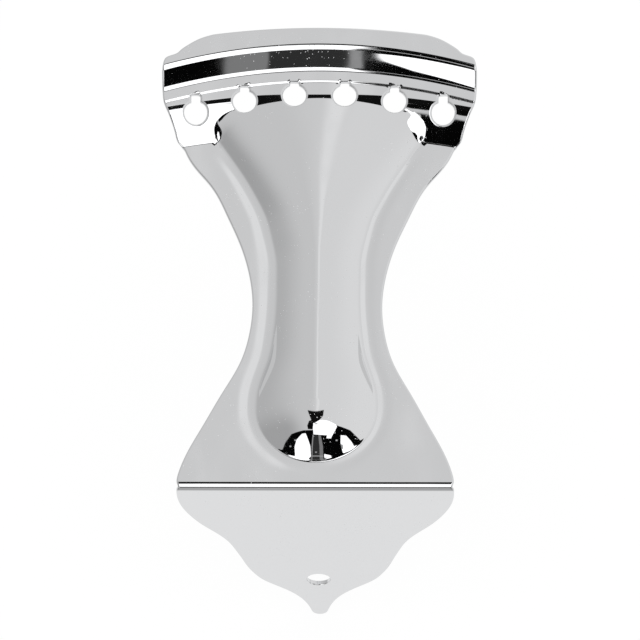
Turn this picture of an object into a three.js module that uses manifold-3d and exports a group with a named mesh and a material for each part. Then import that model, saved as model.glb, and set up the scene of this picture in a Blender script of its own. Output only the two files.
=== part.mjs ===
import * as THREE from 'three';
import Module from 'manifold-3d';
import { mergeVertices } from 'three/addons/utils/BufferGeometryUtils.js';

// Guitar tailpiece: one sheet of metal, blanked to a waisted outline, pressed, punched, folded and chromed.
// A flange stands against the end of the guitar's body, where the end pin goes through its hole.
// The plate runs over the top of the body towards the bridge, stiffened by a pressed ridge.
// At its far end a ramp, a ledge and a wall step up to a lip, and six keyholes there hold the strings.
//
// Millimetres. X goes across, +Y along the plate to the bridge, +Z out of the guitar's top.
// The origin is the centre of the end-pin hole on the flange's inner face.
// A "place" is a distance along Y from the flange's inner face.

// Sheet
const sheetThickness = 1;
const cutEdgeRound = 0.3;

// Flange, with depths measured down from the plate's upper face
const flangeDepth = 56;
const flangeTipRadius = 1.7;
const endPinDepth = 40.5;
const endPinHoleDiameter = 4.7;

// Fold between flange and plate
const foldHalfWidth = 27.9;
const foldRadius = 1.5;
const foldInset = 0.4;

// Plate outline, with the ears standing a little in from the hood's ends
const waistPlace = 40.5;
const waistHalfWidth = 13.05;
const earPlace = 75.5;
const earSetback = 4.3;

// Ridge that is pressed up along the middle, highest at its round end near the fold
const ridgeEndPlace = 17;
const ridgeEndRadius = 12;
const ridgeEndHeight = 5.25;
const ridgeEndSlope = THREE.MathUtils.degToRad(58.8);
const ridgeWaistPlace = 42;
const ridgeWaistHalfWidth = 8.2;
const ridgeWaistHeight = 3.3;
const ridgeSideSlope = THREE.MathUtils.degToRad(45);
const ridgeMouthPlace = 76.7;
const ridgeMouthHalfWidth = 19.8;
const ridgeMouthDrop = 0.025;
const ridgeCamberShare = 0.3;
const ridgeBlend = 0.4;

// Hood: its steps follow one bow across the plate, and the ramp below them a flatter one
const bowRadius = 104;
const rampBowRadius = 150;
const bowStartPlace = 45;
const hoodMargin = 6.68;
const hoodEndPlace = 91.1;
const lipEdgePlace = 99.55;
const lipEdgeBowRadius = 150;
const lipCornerPlace = 98;
const ledgePlace = 88.6;
const ledgeRun = 0.6;
const ledgeRise = 0.28;
const ledgeSpread = 0.8;

const ramp = {
  footPlace: 78.15,
  rise: 3.25,
  slope: THREE.MathUtils.degToRad(24.3),
  footRadius: 0.8,
  topRadius: 5,
};

const wall = {
  footPlace: 91.1,
  rise: 3.1,
  slope: THREE.MathUtils.degToRad(45),
  footRadius: 2,
  topRadius: 2.2,
};

// Keyholes: a ball end passes through the round part and its string seats in the slot
const stringCount = 6;
const stringSpacing = 10.1;
const keyholePlace = 86.13;
const keyholeBowRadius = 79;
const keyholeDiameter = 4.6;
const slotWidth = 1.8;
const slotEndPlace = 88.75;
const slotCornerRadius = 0.3;
const cutterOverrun = 1;

// Outlines, as shares of the lengths and widths that they run between
const plateTaperShares = [
  [0, 1], [0.065, 0.97], [0.165, 0.878], [0.33, 0.647], [0.5, 0.41], [0.665, 0.173], [0.83, 0.037], [1, 0],
];
const plateFlareShares = [
  [0.19, 0.053], [0.385, 0.187], [0.577, 0.371], [0.769, 0.633], [0.846, 0.788], [0.923, 0.922], [1, 1],
];
const ridgeTaperShares = [
  [0, 1], [0.12, 0.96], [0.3, 0.684], [0.448, 0.382], [0.632, 0.171], [0.812, 0.053], [1, 0],
];
const ridgeFlareShares = [
  [0.254, 0.013], [0.383, 0.086], [0.513, 0.185], [0.643, 0.358], [0.772, 0.565], [0.902, 0.81], [1, 1],
];
const hoodFlareShares = [
  [0.038, 0.186], [0.14, 0.372], [0.314, 0.581], [0.455, 0.79], [0.59, 0.965], [0.724, 1], [1, 1],
];
const lipShares = [
  [0.188, 0.99], [0.283, 0.971], [0.384, 0.911], [0.471, 0.892], [0.609, 0.857], [0.79, 0.797],
  [0.899, 0.749], [1, 0.683],
];
const flangeShares = [
  [0.07, 0.998], [0.117, 0.986], [0.165, 0.961], [0.213, 0.921], [0.259, 0.873], [0.308, 0.81],
  [0.354, 0.738], [0.4025, 0.672], [0.449, 0.625], [0.497, 0.591], [0.544, 0.561], [0.592, 0.532],
  [0.6395, 0.5], [0.687, 0.457], [0.734, 0.394], [0.782, 0.296], [0.83, 0.197], [0.8765, 0.131],
  [0.925, 0.088],
];

// How finely the sheet is divided
const crownSegments = 3;
const flankWidth = 8;
const flankShare = 0.85;
const flankShares = [1, 0.8, 0.62, 0.46, 0.32, 0.19, 0.08, 0, -0.09];
const borderShares = [0.5, 1];
const flankLimitShare = 0.8;
const ridgeEndCornerSpokes = 5;
const ridgeEndMiddleSpokes = 18;
const foldSegments = 5;
const flangeColumns = 4;
const flangeRows = 22;
const settlingRounds = 40;
const tipAngles = [0, 35, 65, 85].map(THREE.MathUtils.degToRad);
const probeShare = 0.01;

// Smooth curve through [place, value] pairs: level at each high or low point, so it never overshoots.
// Past its last pair it goes on straight.
function curveThrough(pairs) {
  const grades = [];
  for (let i = 1; i < pairs.length; i += 1) {
    grades.push((pairs[i][1] - pairs[i - 1][1]) / (pairs[i][0] - pairs[i - 1][0]));
  }
  const slopes = pairs.map((pair, i) => {
    const before = grades[Math.max(i - 1, 0)];
    const after = grades[Math.min(i, grades.length - 1)];
    return before * after > 0 ? (2 * before * after) / (before + after) : 0;
  });
  const last = pairs.length - 1;
  return (place) => {
    if (place >= pairs[last][0]) {
      return pairs[last][1] + slopes[last] * (place - pairs[last][0]);
    }
    let i = 0;
    while (place > pairs[i + 1][0]) {
      i += 1;
    }
    const span = pairs[i + 1][0] - pairs[i][0];
    const t = Math.max(0, (place - pairs[i][0]) / span);
    const bulge = t * (1 - t);
    const straight = pairs[i][1] + (pairs[i + 1][1] - pairs[i][1]) * t;
    return straight + span * bulge * ((slopes[i] - grades[i]) * (1 - t) + (grades[i] - slopes[i + 1]) * t);
  };
}

// Turns a table of shares into places and half-widths between two ends
function between(shares, startPlace, endPlace, baseWidth, widthSpan) {
  return shares.map(([placeShare, widthShare]) => [
    startPlace + placeShare * (endPlace - startPlace),
    baseWidth + widthShare * widthSpan,
  ]);
}

function evenly(start, end, count) {
  return Array.from({ length: count }, (_, i) => start + ((end - start) * i) / count);
}

// A rising step is a hollow foot arc, a straight slope and a round top arc
function measureStep(step) {
  const sine = Math.sin(step.slope);
  const drop = 1 - Math.cos(step.slope);
  const slopeRise = step.rise - (step.footRadius + step.topRadius) * drop;
  const footEnd = step.footPlace + step.footRadius * sine;
  const topStart = footEnd + slopeRise / Math.tan(step.slope);
  return { ...step, footEnd, topStart, topPlace: topStart + step.topRadius * sine };
}

function stepHeight(step, place) {
  if (place <= step.footPlace) {
    return 0;
  }
  if (place < step.footEnd) {
    return step.footRadius - Math.sqrt(step.footRadius ** 2 - (place - step.footPlace) ** 2);
  }
  if (place < step.topStart) {
    return step.footRadius * (1 - Math.cos(step.slope)) + (place - step.footEnd) * Math.tan(step.slope);
  }
  if (place < step.topPlace) {
    return step.rise - step.topRadius + Math.sqrt(step.topRadius ** 2 - (step.topPlace - place) ** 2);
  }
  return step.rise;
}

const rampStep = measureStep(ramp);
const wallStep = measureStep(wall);

// Half-widths of the upper outline, from the fold past the waist, the ear and the hood's end to the lip
const middleString = (stringCount - 1) / 2;
const stringPlace = (number) =>
  keyholeBowRadius * Math.sin(((number - middleString) * stringSpacing) / keyholeBowRadius);
const hoodHalfWidth = stringPlace(stringCount - 1) + hoodMargin;
const earHalfWidth = hoodHalfWidth - earSetback;
const lipPairs = between(lipShares, hoodEndPlace, lipCornerPlace, 0, hoodHalfWidth);
const plateHalfWidth = curveThrough([
  ...between(plateTaperShares, 0, waistPlace, waistHalfWidth, foldHalfWidth - waistHalfWidth),
  ...between(plateFlareShares, waistPlace, earPlace, waistHalfWidth, earHalfWidth - waistHalfWidth),
  ...between(hoodFlareShares, earPlace, hoodEndPlace, earHalfWidth, earSetback),
  ...lipPairs,
]);

// Half-widths of the ridge's foot and of the flange
const ridgeTaper = ridgeEndRadius - ridgeWaistHalfWidth;
const ridgeFlare = ridgeMouthHalfWidth - ridgeWaistHalfWidth;
const ridgeHalfWidth = curveThrough([
  [0, ridgeEndRadius],
  ...between(ridgeTaperShares, ridgeEndPlace, ridgeWaistPlace, ridgeWaistHalfWidth, ridgeTaper),
  ...between(ridgeFlareShares, ridgeWaistPlace, ridgeMouthPlace, ridgeWaistHalfWidth, ridgeFlare),
]);
const flangeHalfWidth = curveThrough([
  [0, foldHalfWidth],
  ...between(flangeShares, 0, flangeDepth, 0, foldHalfWidth),
  [flangeDepth - flangeTipRadius, flangeTipRadius],
]);

function easeBetween(value, start, end) {
  const t = THREE.MathUtils.clamp((value - start) / (end - start), 0, 1);
  return t * t * (3 - 2 * t);
}

// Height of the ridge, from its crown out to its foot. The power makes the foot as steep as it has to be,
// so a wide section is flat on top and a narrow one is round.
function ridgeRise(x, y) {
  const atEnd = y < ridgeEndPlace;
  const probe = probeShare * sheetThickness;
  const flare = (ridgeHalfWidth(y + probe) - ridgeHalfWidth(y - probe)) / (2 * probe);
  const width = atEnd ? ridgeEndRadius : ridgeHalfWidth(y);
  const reach = atEnd ? Math.hypot(x, y - ridgeEndPlace) : Math.abs(x);
  const square = atEnd ? 1 : Math.hypot(1, flare);
  const toWaist = easeBetween(y, ridgeEndPlace, ridgeWaistPlace);
  const toMouth = easeBetween(y, ridgeWaistPlace, ridgeMouthPlace);
  const steepness = THREE.MathUtils.lerp(Math.tan(ridgeEndSlope), Math.tan(ridgeSideSlope), toWaist);
  if (reach > width) {
    return ((width - reach) / square) * steepness;
  }
  const mouthHeight = ramp.rise - ridgeMouthDrop;
  const nearWaist = THREE.MathUtils.lerp(ridgeEndHeight, ridgeWaistHeight, toWaist);
  const crown = nearWaist + (mouthHeight - ridgeWaistHeight) * toMouth;
  const camber = ridgeCamberShare * toMouth;
  const power = ((width * steepness) / (square * crown) - 2 * camber) / (1 - camber);
  const t = reach / width;
  return crown * (1 - camber * t ** 2 - (1 - camber) * t ** power);
}

// The ledge is crisp in the upper face and eased in the lower one
const ledgeEnd = ledgePlace + ledgeRun;
const softLedgeShare = (along) => easeBetween(along, ledgePlace - ledgeSpread, ledgeEnd + ledgeSpread);
const crispLedgeShare = (along) => THREE.MathUtils.clamp((along - ledgePlace) / ledgeRun, 0, 1);
const placeAlongBow = (x, y, radius) => y + x ** 2 / (2 * radius);

// Height of the pressed sheet above the plain plate: the ridge and the hood's steps, whichever is higher,
// run together in a small hollow blend
function pressedHeight(x, y) {
  const along = placeAlongBow(x, y, bowRadius);
  const rampHeight = stepHeight(rampStep, placeAlongBow(x, y, rampBowRadius));
  const steps = rampHeight + ledgeRise * softLedgeShare(along) + stepHeight(wallStep, along);
  const ridge = ridgeRise(x, y);
  const closeness = Math.max(0, 1 - Math.abs(steps - ridge) / ridgeBlend);
  return Math.max(steps, ridge) + (ridgeBlend * closeness ** 2) / 4;
}

function ledgeCrispness(x, y) {
  const along = placeAlongBow(x, y, bowRadius);
  return ledgeRise * (crispLedgeShare(along) - softLedgeShare(along));
}

// Sheet under construction: upper points, their directions out of the sheet, and triangles
const outer = [];
const inner = [];
const directions = [];

function addSheetPoint(point, direction, extra = 0) {
  inner.push(point.clone().addScaledVector(direction, -sheetThickness));
  outer.push(point.clone().setZ(point.z + extra));
  directions.push(direction);
  return outer.length - 1;
}

function addPlatePoint(x, y) {
  const probe = probeShare * sheetThickness;
  const slopeX = (pressedHeight(x + probe, y) - pressedHeight(x - probe, y)) / (2 * probe);
  const slopeY = (pressedHeight(x, y + probe) - pressedHeight(x, y - probe)) / (2 * probe);
  const point = new THREE.Vector3(x, y, endPinDepth + pressedHeight(x, y));
  return addSheetPoint(point, new THREE.Vector3(-slopeX, -slopeY, 1).normalize(), ledgeCrispness(x, y));
}

// A row crosses the plate at one place of the middle line and bows back at its ends
function rowBow(place) {
  const share = (start, end) => THREE.MathUtils.clamp((place - start) / (end - start), 0, 1);
  const toSteps = share(rampStep.topPlace, ledgePlace);
  const toEdge = share(wallStep.topPlace, lipEdgePlace);
  const steps = THREE.MathUtils.lerp(rampBowRadius, bowRadius, toSteps);
  const radius = THREE.MathUtils.lerp(steps, lipEdgeBowRadius, toEdge);
  return easeBetween(place, bowStartPlace, rampStep.footPlace) / (2 * radius);
}

function rowHalfWidth(place) {
  let halfWidth = plateHalfWidth(place);
  for (let i = 0; i < settlingRounds; i += 1) {
    halfWidth = plateHalfWidth(place - rowBow(place) * halfWidth ** 2);
  }
  return halfWidth;
}

// The middle line's place of the row that ends at one outline point
function rowThrough([endPlace, halfWidth]) {
  let place = endPlace;
  for (let i = 0; i < settlingRounds; i += 1) {
    place = endPlace + rowBow(place) * halfWidth ** 2;
  }
  return place;
}

// Distances from the ridge's middle to each column, crown first, then flank, then the flat border
function columnDistances(footDistance, edgeDistance) {
  const foot = Math.min(footDistance, edgeDistance * flankLimitShare);
  const crownEdge = foot - Math.min(flankWidth, foot * flankShare);
  const flank = flankShares.map((share) => foot - share * (foot - crownEdge));
  const border = flank[flank.length - 1];
  return [
    ...evenly(0, crownEdge, crownSegments),
    ...flank,
    ...borderShares.map((share) => border + share * (edgeDistance - border)),
  ];
}

const stepRows = (step) => [
  ...evenly(step.footPlace, step.footEnd, 2),
  ...evenly(step.footEnd, step.topStart, 2),
  ...evenly(step.topStart, step.topPlace, 3),
];

const rowPlaces = [
  ...evenly(ridgeEndPlace, ridgeWaistPlace, 8),
  ...evenly(ridgeWaistPlace, rampStep.footPlace, 17),
  ...stepRows(rampStep),
  rampStep.topPlace,
  ledgePlace - ledgeSpread,
  ledgePlace,
  ledgeEnd,
  ledgeEnd + ledgeSpread,
  ...stepRows(wallStep),
  wallStep.topPlace,
  ...lipPairs.slice(0, -1).map(rowThrough),
  lipEdgePlace,
];

// One spoke runs from the middle line, or from the centre of the ridge's round end, out to the edge.
// The spokes go down the right side, round the ridge's end and up the left side.
const middle = rowPlaces.map((place) => addPlatePoint(0, Math.min(place, lipEdgePlace - cutEdgeRound)));

function sideSpoke(row, side) {
  const place = Math.min(rowPlaces[row], lipEdgePlace - cutEdgeRound);
  const edge = rowHalfWidth(rowPlaces[row]) - cutEdgeRound;
  const distances = columnDistances(ridgeHalfWidth(place), edge).slice(1);
  const bow = rowBow(place);
  const points = distances.map((distance) => addPlatePoint(side * distance, place - bow * distance ** 2));
  return [middle[row], ...points];
}

const foldStart = foldRadius - sheetThickness;
const cornerAngle = Math.atan2(ridgeEndPlace - foldStart, foldHalfWidth - cutEdgeRound);

// Distance from the centre of the ridge's end to the plate's side edge, found by halving
function reachToSide(angle) {
  let near = 0;
  let far = 2 * foldHalfWidth;
  for (let i = 0; i < settlingRounds; i += 1) {
    const reach = (near + far) / 2;
    const edge = plateHalfWidth(ridgeEndPlace - reach * Math.sin(angle)) - cutEdgeRound;
    const inside = reach * Math.cos(angle) < edge;
    near = inside ? reach : near;
    far = inside ? far : reach;
  }
  return near;
}

function endSpoke(angle) {
  const beside = Math.min(angle, Math.PI - angle);
  const corner = beside < cornerAngle;
  const reach = corner ? reachToSide(beside) : (ridgeEndPlace - foldStart) / Math.sin(angle);
  const distances = columnDistances(ridgeEndRadius, reach).slice(1);
  return [
    middle[0],
    ...distances.map((distance) =>
      addPlatePoint(distance * Math.cos(angle), ridgeEndPlace - distance * Math.sin(angle)),
    ),
  ];
}

const cornerAngles = evenly(0, cornerAngle, ridgeEndCornerSpokes).slice(1);
const endAngles = [
  ...cornerAngles,
  ...evenly(cornerAngle, Math.PI - cornerAngle, ridgeEndMiddleSpokes),
  Math.PI - cornerAngle,
  ...cornerAngles.map((angle) => Math.PI - angle).reverse(),
];
const rows = rowPlaces.map((_, row) => row);
const spokes = [
  ...rows.map((row) => sideSpoke(row, 1)).reverse(),
  ...endAngles.map(endSpoke),
  ...rows.map((row) => sideSpoke(row, -1)),
];

// Fold and flange, row by row from the plate's end down to the tip, each from left to right
const edgeOf = (spoke) => spoke[spoke.length - 1];
const firstFoldSpoke = rows.length + cornerAngles.length;
const foldSpokes = spokes.slice(firstFoldSpoke, firstFoldSpoke + ridgeEndMiddleSpokes + 1).reverse();
const foldRow = foldSpokes.map(edgeOf);
const foldColumns = foldRow.map((index) => outer[index].x / (foldHalfWidth - cutEdgeRound));
const foldAngles = evenly(0, Math.PI / 2, foldSegments).slice(1);
const flangeStart = endPinDepth - foldRadius;

const foldRows = foldAngles.map((angle) => {
  const direction = new THREE.Vector3(0, -Math.sin(angle), Math.cos(angle));
  const halfWidth = foldHalfWidth - cutEdgeRound - foldInset * Math.sin(2 * angle) ** 2;
  return foldColumns.map((column) => {
    const point = new THREE.Vector3(column * halfWidth, foldStart, flangeStart);
    return addSheetPoint(point.addScaledVector(direction, foldRadius), direction);
  });
});

function flangeRow(columns, halfWidth, depth) {
  const direction = new THREE.Vector3(0, -1, 0);
  return columns.map((column) =>
    addSheetPoint(new THREE.Vector3(column * halfWidth, -sheetThickness, endPinDepth - depth), direction),
  );
}

const evenColumns = [...evenly(-1, 1, flangeColumns), 1];
const tipCentreDepth = flangeDepth - flangeTipRadius;
const flangeDepths = evenly(foldRadius, tipCentreDepth, flangeRows).slice(1);
const flangeRowList = [
  flangeRow(foldColumns, foldHalfWidth - cutEdgeRound, foldRadius),
  ...flangeDepths.map((depth) => flangeRow(evenColumns, flangeHalfWidth(depth) - cutEdgeRound, depth)),
  ...tipAngles.map((angle) => {
    const radius = flangeTipRadius - cutEdgeRound;
    return flangeRow(evenColumns, radius * Math.cos(angle), tipCentreDepth + radius * Math.sin(angle));
  }),
];
const foldedRows = [foldRow, ...foldRows, ...flangeRowList];

// Triangles between two neighbouring rows, which may hold different numbers of points
function stitch(first, second, triangles) {
  let i = 0;
  let j = 0;
  while (i < first.length - 1 || j < second.length - 1) {
    const firstShare = i < first.length - 1 ? (i + 1) / (first.length - 1) : Infinity;
    const secondShare = j < second.length - 1 ? (j + 1) / (second.length - 1) : Infinity;
    if (firstShare <= secondShare) {
      triangles.push([first[i], second[j], first[i + 1]]);
      i += 1;
    } else {
      triangles.push([first[i], second[j], second[j + 1]]);
      j += 1;
    }
  }
}

function stitchAll(rowList) {
  const triangles = [];
  for (let i = 1; i < rowList.length; i += 1) {
    stitch(rowList[i - 1], rowList[i], triangles);
  }
  return triangles.filter(([a, b, c]) => a !== b && b !== c && a !== c);
}

// The same triangles, turned over, make the inner face
const pointCount = outer.length;
const outerFaces = [...stitchAll(spokes), ...stitchAll(foldedRows)];
const innerFaces = outerFaces.map(([a, b, c]) => [a + pointCount, c + pointCount, b + pointCount]);
const points = [...outer, ...inner];

// Edge of the sheet: round it goes from the lip's right end to the left, down the left side, round the tip
// and up the right side
const rightSpokes = spokes.slice(1, firstFoldSpoke + 1).reverse();
const leftSpokes = spokes.slice(firstFoldSpoke + ridgeEndMiddleSpokes, -1).reverse();
const lastRow = foldedRows[foldedRows.length - 1];
const edgeLoop = [
  ...[...spokes[0]].reverse(),
  ...spokes[spokes.length - 1].slice(1),
  ...leftSpokes.map(edgeOf),
  ...foldedRows.slice(1, -1).map((row) => row[0]),
  ...lastRow,
  ...foldedRows.slice(1, -1).map(edgeOf).reverse(),
  ...rightSpokes.map(edgeOf),
];

function edgeRing(outward, inward) {
  return edgeLoop.map((index, i) => {
    const next = outer[edgeLoop[(i + 1) % edgeLoop.length]];
    const previous = outer[edgeLoop[(i + edgeLoop.length - 1) % edgeLoop.length]];
    const away = next.clone().sub(previous).cross(directions[index]).normalize();
    const point = outer[index].clone().addScaledVector(away, outward);
    points.push(point.addScaledVector(directions[index], -inward));
    return points.length - 1;
  });
}

const rings = [
  edgeLoop,
  edgeRing(cutEdgeRound, cutEdgeRound),
  edgeRing(cutEdgeRound, sheetThickness - cutEdgeRound),
  edgeLoop.map((index) => index + pointCount),
];
const edgeFaces = stitchAll(rings.map((ring) => [...ring, ring[0]]));

const sheetGeometry = new THREE.BufferGeometry();
const coordinates = points.flatMap((point) => point.toArray());
sheetGeometry.setAttribute('position', new THREE.Float32BufferAttribute(coordinates, 3));
sheetGeometry.setIndex([...outerFaces, ...innerFaces, ...edgeFaces].flat());

// Punches for the keyholes and the end-pin hole
function keyholePunch(x) {
  const y = keyholePlace - x ** 2 / (2 * keyholeBowRadius);
  const end = slotEndPlace - x ** 2 / (2 * bowRadius);
  const radius = keyholeDiameter / 2;
  const half = slotWidth / 2;
  const mouth = Math.acos(half / radius);
  const corner = slotCornerRadius;
  const shape = new THREE.Shape();
  shape.absarc(x, y, radius, Math.PI - mouth, mouth, false);
  shape.absarc(x + half - corner, end - corner, corner, 0, Math.PI / 2, false);
  shape.absarc(x - half + corner, end - corner, corner, Math.PI / 2, Math.PI, false);
  shape.closePath();
  const reach = sheetThickness + ramp.rise + wall.rise + 2 * cutterOverrun;
  const punch = new THREE.ExtrudeGeometry(shape, { depth: reach, bevelEnabled: false, curveSegments: 14 });
  return punch.translate(0, 0, endPinDepth - sheetThickness - cutterOverrun);
}

function endPinPunch() {
  const radius = endPinHoleDiameter / 2;
  const length = sheetThickness + 2 * cutterOverrun;
  return new THREE.CylinderGeometry(radius, radius, length, 32).translate(0, -sheetThickness / 2, 0);
}

const wasm = await Module();
wasm.setup();

function toSolid(geometry) {
  const bare = geometry.clone();
  bare.deleteAttribute('normal');
  bare.deleteAttribute('uv');
  const merged = mergeVertices(bare);
  const vertProperties = new Float32Array(merged.attributes.position.array);
  const triVerts = new Uint32Array(merged.index.array);
  return new wasm.Manifold(new wasm.Mesh({ numProp: 3, vertProperties, triVerts }));
}

function toGeometry(solid) {
  const mesh = solid.getMesh();
  const geometry = new THREE.BufferGeometry();
  geometry.setAttribute('position', new THREE.BufferAttribute(mesh.vertProperties, 3));
  geometry.setIndex(new THREE.BufferAttribute(mesh.triVerts, 1));
  geometry.computeVertexNormals();
  return geometry;
}

const punches = [endPinPunch()];
for (let i = 0; i < stringCount; i += 1) {
  punches.push(keyholePunch(stringPlace(i)));
}

let sheet = toSolid(sheetGeometry);
for (const punch of punches) {
  sheet = sheet.subtract(toSolid(punch));
}

const chrome = new THREE.MeshStandardMaterial({ color: 0xd4d5d8, roughness: 0.1, metalness: 1 });
const plate = new THREE.Mesh(toGeometry(sheet), chrome);
plate.name = 'tailpiece_plate';

const group = new THREE.Group();
group.add(plate);

export default group;
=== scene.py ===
# %% [markdown]
# # A chromed guitar tailpiece
#
# This lesson dresses one real object: a tailpiece that was pressed, punched, folded and chromed from a
# single sheet of steel about a millimetre thick. A flange stands against the end of the guitar's body, a
# waisted plate with a raised ridge runs over the top, and a stepped hood at the far end holds six ball-end
# strings in keyholes.
#
# The imported model is the frame: it fixes where everything is and how big it is. The box around it is kept
# and printed.

import math

import bpy
import numpy as np
from mathutils import Matrix, Vector
from mathutils.geometry import delaunay_2d_cdt


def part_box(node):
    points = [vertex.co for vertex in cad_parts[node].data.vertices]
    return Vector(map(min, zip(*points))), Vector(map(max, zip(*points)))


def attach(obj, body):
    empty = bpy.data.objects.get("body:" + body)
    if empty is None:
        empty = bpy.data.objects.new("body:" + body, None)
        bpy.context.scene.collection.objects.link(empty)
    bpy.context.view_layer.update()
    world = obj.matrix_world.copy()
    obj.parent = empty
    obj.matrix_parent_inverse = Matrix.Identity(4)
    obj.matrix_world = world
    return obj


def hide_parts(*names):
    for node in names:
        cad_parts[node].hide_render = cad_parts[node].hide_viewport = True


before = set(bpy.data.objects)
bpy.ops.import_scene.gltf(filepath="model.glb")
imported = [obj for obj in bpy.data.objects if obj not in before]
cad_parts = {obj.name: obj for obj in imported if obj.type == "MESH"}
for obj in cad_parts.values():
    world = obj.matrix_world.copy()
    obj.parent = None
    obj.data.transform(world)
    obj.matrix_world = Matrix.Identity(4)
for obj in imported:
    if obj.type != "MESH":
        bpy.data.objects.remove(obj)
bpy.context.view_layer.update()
plate_low, plate_high = (np.array(corner) * 1000 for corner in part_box("tailpiece_plate"))
print("plate from", plate_low.round(2), "to", plate_high.round(2), "mm")

# %% [markdown]
# ## The camera comes first
#
# The object is seen from the flange's side and from high above, 27 degrees from straight down on the plate.
# Parallel edges stay parallel in it, as in a catalogue picture that is taken with a long lens from far
# away. A far perspective camera would do, but an orthographic one is exact, and it can stand close by. A
# close and wide lens would make the folded flange look smaller than the plate.
#
# A camera looks along its own -Z, so its three axes are written down as directions in the object's frame.

# %% Camera
PICTURE_PIXELS = 640
PIXELS_PER_MM = 4.98
CAMERA_TILT = math.radians(27)
CAMERA_DISTANCE = 1.0
CAMERA_SIGHT = 10.0
PLATE_TOP = 40.5
SIDE_DRIFT_ALONG = 0.011
SIDE_DRIFT_UP = -0.018
FOLD_PIXEL = (315.0, 488.0)


def camera_axes():
    """Right, up and back directions of the camera. Up follows the tilt, right drifts by two small shares."""
    right = Vector((1, SIDE_DRIFT_ALONG, SIDE_DRIFT_UP)).normalized()
    up = Vector((0, math.cos(CAMERA_TILT), math.sin(CAMERA_TILT)))
    up = (up - right * up.dot(right)).normalized()
    return right, up, right.cross(up)


def make_camera(aim):
    """Places the camera so that the point aim, in metres, is in the middle of the picture."""
    data = bpy.data.cameras.new("camera")
    data.type = "ORTHO"
    data.ortho_scale = PICTURE_PIXELS / PIXELS_PER_MM / 1000
    data.clip_end = CAMERA_SIGHT
    camera = bpy.data.objects.new("camera", data)
    right, up, back = camera_axes()
    turn = Matrix((right, up, back)).transposed().to_4x4()
    camera.matrix_world = Matrix.Translation(aim + back * CAMERA_DISTANCE) @ turn
    bpy.context.scene.collection.objects.link(camera)
    bpy.context.scene.camera = camera
    return camera


right, up, back = camera_axes()
fold_corner = Vector((0, plate_low[1], PLATE_TOP)) / 1000
across = (PICTURE_PIXELS / 2 - FOLD_PIXEL[0]) / PIXELS_PER_MM / 1000
along = (FOLD_PIXEL[1] - PICTURE_PIXELS / 2) / PIXELS_PER_MM / 1000
camera = make_camera(fold_corner + right * across + up * along)
print("picture", round(camera.data.ortho_scale * 1000, 1), "mm wide")

# %% [markdown]
# ## Smooth outlines
#
# A press tool's outline is a smooth curve through a few set-out points. A cubic spline does the same here:
# between two points it is a cubic, and its slope and its bend run on through every point. Chrome shows any
# break in the bend as a kink in the reflection, which is why straight pieces or simple curves won't do.

# %% Spline through set-out points


def spline(pairs, start_slope=None, end_slope=None):
    """Cubic spline through (place, value) pairs, given as slopes at the points.

    The slopes solve one linear system: at each inner point the second derivative is the same on both sides.
    An end's slope is given, or else the curve runs out straight there. Past the ends it goes on straight.
    """
    places, values = np.array(pairs, float).T
    spans = np.diff(places)
    grades = np.diff(values) / spans
    count = len(places)
    system = np.zeros((count, count))
    known = np.zeros(count)
    inner = np.arange(1, count - 1)
    system[inner, inner - 1] = spans[1:]
    system[inner, inner] = 2 * (spans[:-1] + spans[1:])
    system[inner, inner + 1] = spans[:-1]
    known[inner] = 3 * (grades[:-1] * spans[1:] + grades[1:] * spans[:-1])
    for row, beside, grade, slope in ((0, 1, grades[0], start_slope), (-1, -2, grades[-1], end_slope)):
        system[row, row] = 2 if slope is None else 1
        system[row, beside] = 1 if slope is None else 0
        known[row] = 3 * grade if slope is None else slope
    slopes = np.linalg.solve(system, known)

    def curve(place):
        place = np.asarray(place, float)
        piece = np.clip(np.searchsorted(places, place) - 1, 0, count - 2)
        t = (place - places[piece]) / spans[piece]
        inside = np.clip(t, 0, 1)
        straight = values[piece] + (values[piece + 1] - values[piece]) * inside
        lean = (slopes[piece] - grades[piece]) * (1 - inside) + (grades[piece] - slopes[piece + 1]) * inside
        outside = np.where(t < 0, slopes[piece], slopes[piece + 1]) * (t - inside) * spans[piece]
        return straight + spans[piece] * inside * (1 - inside) * lean + outside

    return curve


def ease(value, start, end):
    """Rises smoothly from 0 at start to 1 at end."""
    t = np.clip((value - start) / (end - start), 0, 1)
    return t * t * (3 - 2 * t)


arch = spline([(0, 0), (1, 1), (2, 0)])
print("an arch from 0 over 1 to 0 passes", arch(0.5).round(3), "on its way up")


# %% [markdown]
# ## The sheet's sizes
#
# Everything is in millimetres here, with places measured along the plate from the flange's inner face and
# heights measured from the plate's flat upper face. The overall ones come from the frame.

# %% Sizes of the sheet
THICKNESS = 1.0
EDGE_RADIUS = 0.35
KEYHOLE_EDGE_RADIUS = 0.45
PIN_EDGE_RADIUS = 0.2
FOLD_RADIUS = 1.5
FOLD_START = FOLD_RADIUS - THICKNESS
FOLD_LENGTH = FOLD_RADIUS * math.pi / 2
FOLD_INSET = 0.4
FOLD_HALF_WIDTH = 27.9
TIP_RADIUS = 1.7
FLANGE_DEPTH = PLATE_TOP - plate_low[2]
LIP_EDGE = plate_high[1]
BOW_RADIUS = 104.0
RAMP_BOW_RADIUS = 150.0
LIP_EDGE_BOW_RADIUS = 150.0
RIDGE_END = 17.0
RIDGE_END_RADIUS = 12.0
WAIST_PLACE = 40.5
EAR_TOP = 75.5
HOOD_END = 91.1
LIP_CORNER = 98.0

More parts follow.
